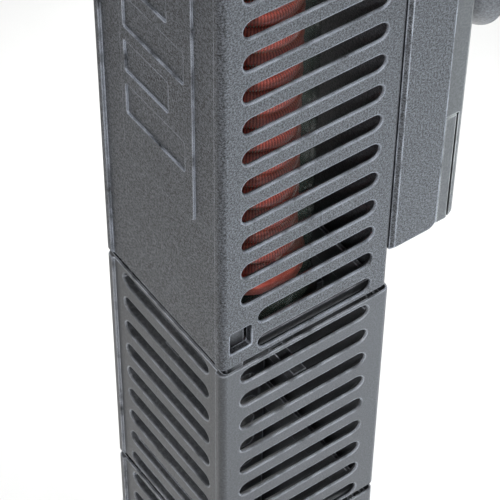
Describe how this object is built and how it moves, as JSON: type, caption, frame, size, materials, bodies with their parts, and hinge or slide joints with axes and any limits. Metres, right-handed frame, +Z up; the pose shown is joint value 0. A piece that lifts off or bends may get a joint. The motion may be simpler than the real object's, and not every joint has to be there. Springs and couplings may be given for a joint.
{
  "type": "submersible aquarium heater",
  "caption": "Tall square slotted guard around a glass heating tube, with a display head, a set-point lever, a cable gland and a lift-out bracket on suction cups.",
  "frame": {"origin": "on the tank glass, midway between the two suction cups (mount tank_wall)", "axes": "+Z up along the heater, +Y into the tank glass, the heater's front face looks towards -Y, +X to the right seen from the front"},
  "size_m": [0.04, 0.0676, 0.3994],
  "materials": {
    "guard_grey": "spark-textured charcoal plastic with a fine metallic fleck",
    "module_grey": "smooth satin charcoal plastic",
    "bracket_grey": "spark-textured grey plastic with a fine fleck",
    "head_black": "semi-gloss black plastic",
    "cup_grey": "soft grey silicone rubber",
    "silicone": "dark silicone rubber",
    "glass": "clear borosilicate glass",
    "window": "smoked clear plastic",
    "ceramic": "unglazed steatite",
    "winding": "red enamelled resistance wire",
    "copper": "tinned copper lead",
    "steel": "stainless steel",
    "board": "green solder mask",
    "lcd": "grey-green display glass",
    "chip": "black moulding compound"
  },
  "bodies": {
    "bracket": {"bracket_cradle": "bracket_grey", "bracket_back_plate": "bracket_grey", "bracket_screw_1": "steel", "bracket_screw_2": "steel", "bracket_screw_3": "steel", "bracket_screw_4": "steel", "release_spring": "steel", "suction_cup_lower": "cup_grey", "suction_cup_upper": "cup_grey"},
    "heater": {"upper_guard": "guard_grey", "middle_guard": "module_grey", "lower_guard": "module_grey", "guard_end_cap": "module_grey", "end_cap_screw_1": "steel", "end_cap_screw_2": "steel", "cap_screw_rib": "module_grey", "glass_tube": "glass", "ceramic_core": "ceramic", "heating_coil": "winding", "coil_end_disc": "winding", "coil_top_disc": "winding", "lead_wire_live": "copper", "lead_wire_return": "copper", "thermal_fuse": "steel", "tube_seal": "silicone", "tube_bumper": "silicone", "tube_cradle": "module_grey", "head_rear_shell": "head_black", "head_front_bezel": "head_black", "head_gasket": "silicone", "head_screw_1": "steel", "head_screw_2": "steel", "head_screw_3": "steel", "head_screw_4": "steel", "display_window": "window", "lcd_panel": "lcd", "display_board": "board", "control_board": "board", "power_triac": "chip", "heat_spreader": "steel", "tube_collar": "head_black", "tube_o_ring": "silicone", "sensor_probe": "steel", "cable_gland": "head_black", "gland_seal": "silicone", "lever_pin": "steel", "lever_spring": "steel"},
    "lever": {"lever": "head_black", "lever_magnet": "steel"},
    "release_slide": {"release_slide": "bracket_grey"},
    "middle_latch_right": {"middle_latch_right": "module_grey"},
    "middle_latch_left": {"middle_latch_left": "module_grey"},
    "lower_latch_right": {"lower_latch_right": "module_grey"},
    "lower_latch_left": {"lower_latch_left": "module_grey"}
  },
  "joints": [
    {"name": "heater_lift", "type": "slide", "parent": "bracket", "child": "heater", "axis": [0, 0, 1], "range_m": [0, 0.0102]},
    {"name": "lever_flick", "type": "hinge", "parent": "heater", "child": "lever", "pos_m": [0, -0.0525, 0.166], "axis": [0, 1, 0], "range_deg": [-12, 12], "stiffness_Nm_per_rad": 0.01},
    {"name": "release_pull", "type": "slide", "parent": "bracket", "child": "release_slide", "axis": [0, 0, -1], "range_m": [0, 0.004], "stiffness_N_per_m": 300, "springref_m": -0.002, "deforming": ["release_spring"]},
    {"name": "middle_latch_right_press", "type": "hinge", "parent": "heater", "child": "middle_latch_right", "pos_m": [0.0174, -0.0632, -0.0939], "axis": [0, -1, 0], "range_deg": [0, 5.5], "stiffness_Nm_per_rad": 0.02},
    {"name": "middle_latch_left_press", "type": "hinge", "parent": "heater", "child": "middle_latch_left", "pos_m": [-0.0174, -0.0632, -0.0939], "axis": [0, 1, 0], "range_deg": [0, 5.5], "stiffness_Nm_per_rad": 0.02},
    {"name": "lower_latch_right_press", "type": "hinge", "parent": "heater", "child": "lower_latch_right", "pos_m": [0.0174, -0.0632, -0.1594], "axis": [0, -1, 0], "range_deg": [0, 5.5], "stiffness_Nm_per_rad": 0.02},
    {"name": "lower_latch_left_press", "type": "hinge", "parent": "heater", "child": "lower_latch_left", "pos_m": [-0.0174, -0.0632, -0.1594], "axis": [0, 1, 0], "range_deg": [0, 5.5], "stiffness_Nm_per_rad": 0.02}
  ]
}
